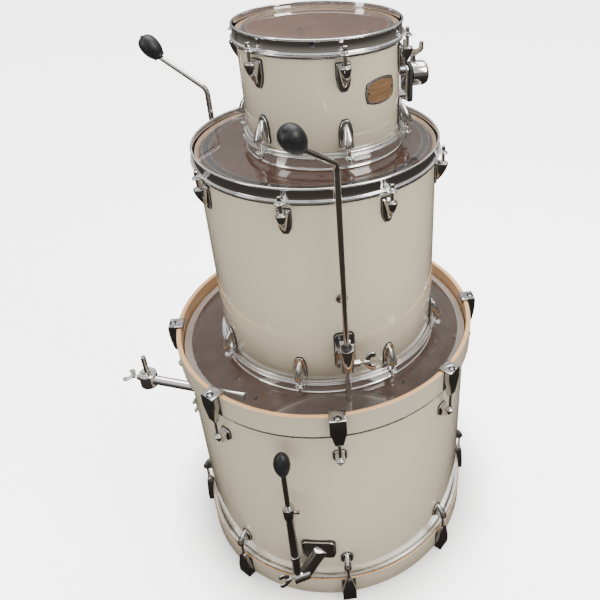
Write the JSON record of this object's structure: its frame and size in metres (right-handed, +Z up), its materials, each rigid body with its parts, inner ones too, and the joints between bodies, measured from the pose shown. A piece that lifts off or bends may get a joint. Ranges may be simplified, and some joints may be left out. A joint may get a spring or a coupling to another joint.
{
  "type": "acoustic drum kit",
  "caption": "Stacked acoustic drum kit: bass drum on end, floor tom upside down with its legs up, and a rack tom, with chrome rims, lugs, claws, spurs and a tom holder.",
  "frame": {"origin": "where the bass drum's axis meets the floor the kit stands on", "axes": "+Z up along the bass drum's axis; -Y faces the viewer; the tom holder points towards -X"},
  "size_m": [0.8061, 0.6363, 1.0766],
  "materials": {
    "lacquered_wood": "gloss lacquer",
    "drum_film": "clear",
    "black_rubber": "matte",
    "black_nylon": "matte",
    "plated_steel": "satin",
    "bronze": "brushed",
    "chrome": "polished"
  },
  "bodies": {
    "bass_drum": {"bass_claw_liners": "black_rubber", "bass_claws": "chrome", "bass_gaskets": "black_rubber", "bass_head_batter": "drum_film", "bass_head_front": "drum_film", "bass_hoop_bottom": "lacquered_wood", "bass_hoop_top": "lacquered_wood", "bass_lug_screws": "plated_steel", "bass_lugs": "chrome", "bass_shell": "lacquered_wood", "bass_tension_rods": "chrome", "spur_brackets": "chrome", "tom_holder_base": "chrome"},
    "floor_tom": {"floor_gaskets": "black_rubber", "floor_head_bottom": "drum_film", "floor_head_top": "drum_film", "floor_lug_screws": "plated_steel", "floor_lugs": "chrome", "floor_rim_bottom": "chrome", "floor_rim_top": "chrome", "floor_shell": "lacquered_wood", "floor_tension_rods": "chrome", "floor_vent": "chrome", "leg_brackets": "chrome", "leg_bushes": "black_nylon"},
    "rack_tom": {"rack_badge": "bronze", "rack_gaskets": "black_rubber", "rack_head_bottom": "drum_film", "rack_head_top": "drum_film", "rack_lug_screws": "plated_steel", "rack_lugs": "chrome", "rack_rim_bottom": "chrome", "rack_rim_top": "chrome", "rack_shell": "lacquered_wood", "rack_tension_rods": "chrome", "mount_base": "chrome", "mount_isolator": "black_rubber", "mount_receiver": "chrome"},
    "tom_mount_nut": {"mount_wing_nut": "chrome"},
    "holder_arm": {"tom_holder_arm": "chrome"},
    "holder_ball": {"tom_holder_ball_rod": "chrome"},
    "holder_base_bolt": {"tom_holder_base_wing_bolt": "chrome"},
    "holder_clamp_bolt": {"tom_holder_clamp_wing_bolt": "chrome"},
    "floor_leg_1": {"leg_1": "chrome", "leg_foot_1": "black_rubber"},
    "floor_leg_bolt_1": {"leg_wing_bolt_1": "chrome"},
    "floor_leg_2": {"leg_2": "chrome", "leg_foot_2": "black_rubber"},
    "floor_leg_bolt_2": {"leg_wing_bolt_2": "chrome"},
    "floor_leg_3": {"leg_3": "chrome", "leg_foot_3": "black_rubber"},
    "floor_leg_bolt_3": {"leg_wing_bolt_3": "chrome"},
    "spur_leg_left": {"spur_tube_left": "chrome"},
    "spur_inner_left": {"spur_rod_left": "chrome", "spur_foot_left": "black_rubber"},
    "spur_bolt_left": {"spur_wing_bolt_left": "chrome"},
    "spur_leg_right": {"spur_tube_right": "chrome"},
    "spur_inner_right": {"spur_rod_right": "chrome", "spur_foot_right": "black_rubber"},
    "spur_bolt_right": {"spur_wing_bolt_right": "chrome"}
  },
  "joints": [
    {"name": "floor_tom_lift", "type": "slide", "parent": "bass_drum", "child": "floor_tom", "axis": [0, 0, 1], "range_m": [0, 0.3]},
    {"name": "rack_tom_lift", "type": "slide", "parent": "floor_tom", "child": "rack_tom", "axis": [0, 0, 1], "range_m": [0, 0.3]},
    {"name": "leg_1_slide", "type": "slide", "parent": "floor_tom", "child": "floor_leg_1", "axis": [0, 0, 1], "range_m": [0, 0.09]},
    {"name": "leg_1_wing_bolt_turn", "type": "hinge", "parent": "floor_tom", "child": "floor_leg_bolt_1", "pos_m": [0.04512, -0.22496, 0.568], "axis": [0.9914, 0.1305, 0], "range_deg": [-180, 180]},
    {"name": "leg_2_slide", "type": "slide", "parent": "floor_tom", "child": "floor_leg_2", "axis": [0, 0, 1], "range_m": [0, 0.09]},
    {"name": "leg_2_wing_bolt_turn", "type": "hinge", "parent": "floor_tom", "child": "floor_leg_bolt_2", "pos_m": [-0.1906, 0.11704, 0.568], "axis": [-0.5373, -0.8434, 0], "range_deg": [-180, 180]},
    {"name": "leg_3_slide", "type": "slide", "parent": "floor_tom", "child": "floor_leg_3", "axis": [0, 0, 1], "range_m": [0, 0.09]},
    {"name": "leg_3_wing_bolt_turn", "type": "hinge", "parent": "floor_tom", "child": "floor_leg_bolt_3", "pos_m": [0.15559, 0.17544, 0.568], "axis": [-0.7373, 0.6756, 0], "range_deg": [-180, 180]},
    {"name": "spur_left_fold", "type": "hinge", "parent": "bass_drum", "child": "spur_leg_left", "pos_m": [-0.07842, -0.29213, 0.085], "axis": [0.9563, 0.2924, 0], "range_deg": [0, 110]},
    {"name": "spur_left_extend", "type": "slide", "parent": "spur_leg_left", "child": "spur_inner_left", "axis": [0, 0, 1], "range_m": [-0.02, 0.1]},
    {"name": "spur_left_wing_bolt_turn", "type": "hinge", "parent": "bass_drum", "child": "spur_bolt_left", "pos_m": [-0.07842, -0.29213, 0.085], "axis": [0.9563, 0.2924, 0], "range_deg": [-180, 180]},
    {"name": "spur_right_fold", "type": "hinge", "parent": "bass_drum", "child": "spur_leg_right", "pos_m": [0.1229, 0.27638, 0.085], "axis": [-0.5592, 0.829, 0], "range_deg": [0, 110]},
    {"name": "spur_right_extend", "type": "slide", "parent": "spur_leg_right", "child": "spur_inner_right", "axis": [0, 0, 1], "range_m": [-0.02, 0.1]},
    {"name": "spur_right_wing_bolt_turn", "type": "hinge", "parent": "bass_drum", "child": "spur_bolt_right", "pos_m": [0.1229, 0.27638, 0.085], "axis": [-0.5592, 0.829, 0], "range_deg": [-180, 180]},
    {"name": "tom_holder_slide", "type": "slide", "parent": "bass_drum", "child": "holder_arm", "axis": [-0.9426, 0.3338, 0], "range_m": [-0.07, 0.05]},
    {"name": "tom_holder_tilt", "type": "hinge", "parent": "holder_arm", "child": "holder_ball", "pos_m": [-0.43833, 0.15522, 0.225], "axis": [-0.3338, -0.9426, 0], "range_deg": [-12, 12]},
    {"name": "tom_holder_clamp_bolt_turn", "type": "hinge", "parent": "holder_arm", "child": "holder_clamp_bolt", "pos_m": [-0.45718, 0.1619, 0.225], "axis": [-0.9426, 0.3338, 0], "range_deg": [-180, 180]},
    {"name": "tom_holder_base_bolt_turn", "type": "hinge", "parent": "bass_drum", "child": "holder_base_bolt", "pos_m": [-0.2993, 0.09368, 0.225], "axis": [-0.3338, -0.9426, 0], "range_deg": [-180, 180]},
    {"name": "tom_mount_nut_turn", "type": "hinge", "parent": "rack_tom", "child": "tom_mount_nut", "pos_m": [0.17555, 0.04241, 0.9931], "axis": [0, 0, 1], "range_deg": [-180, 180]}
  ]
}
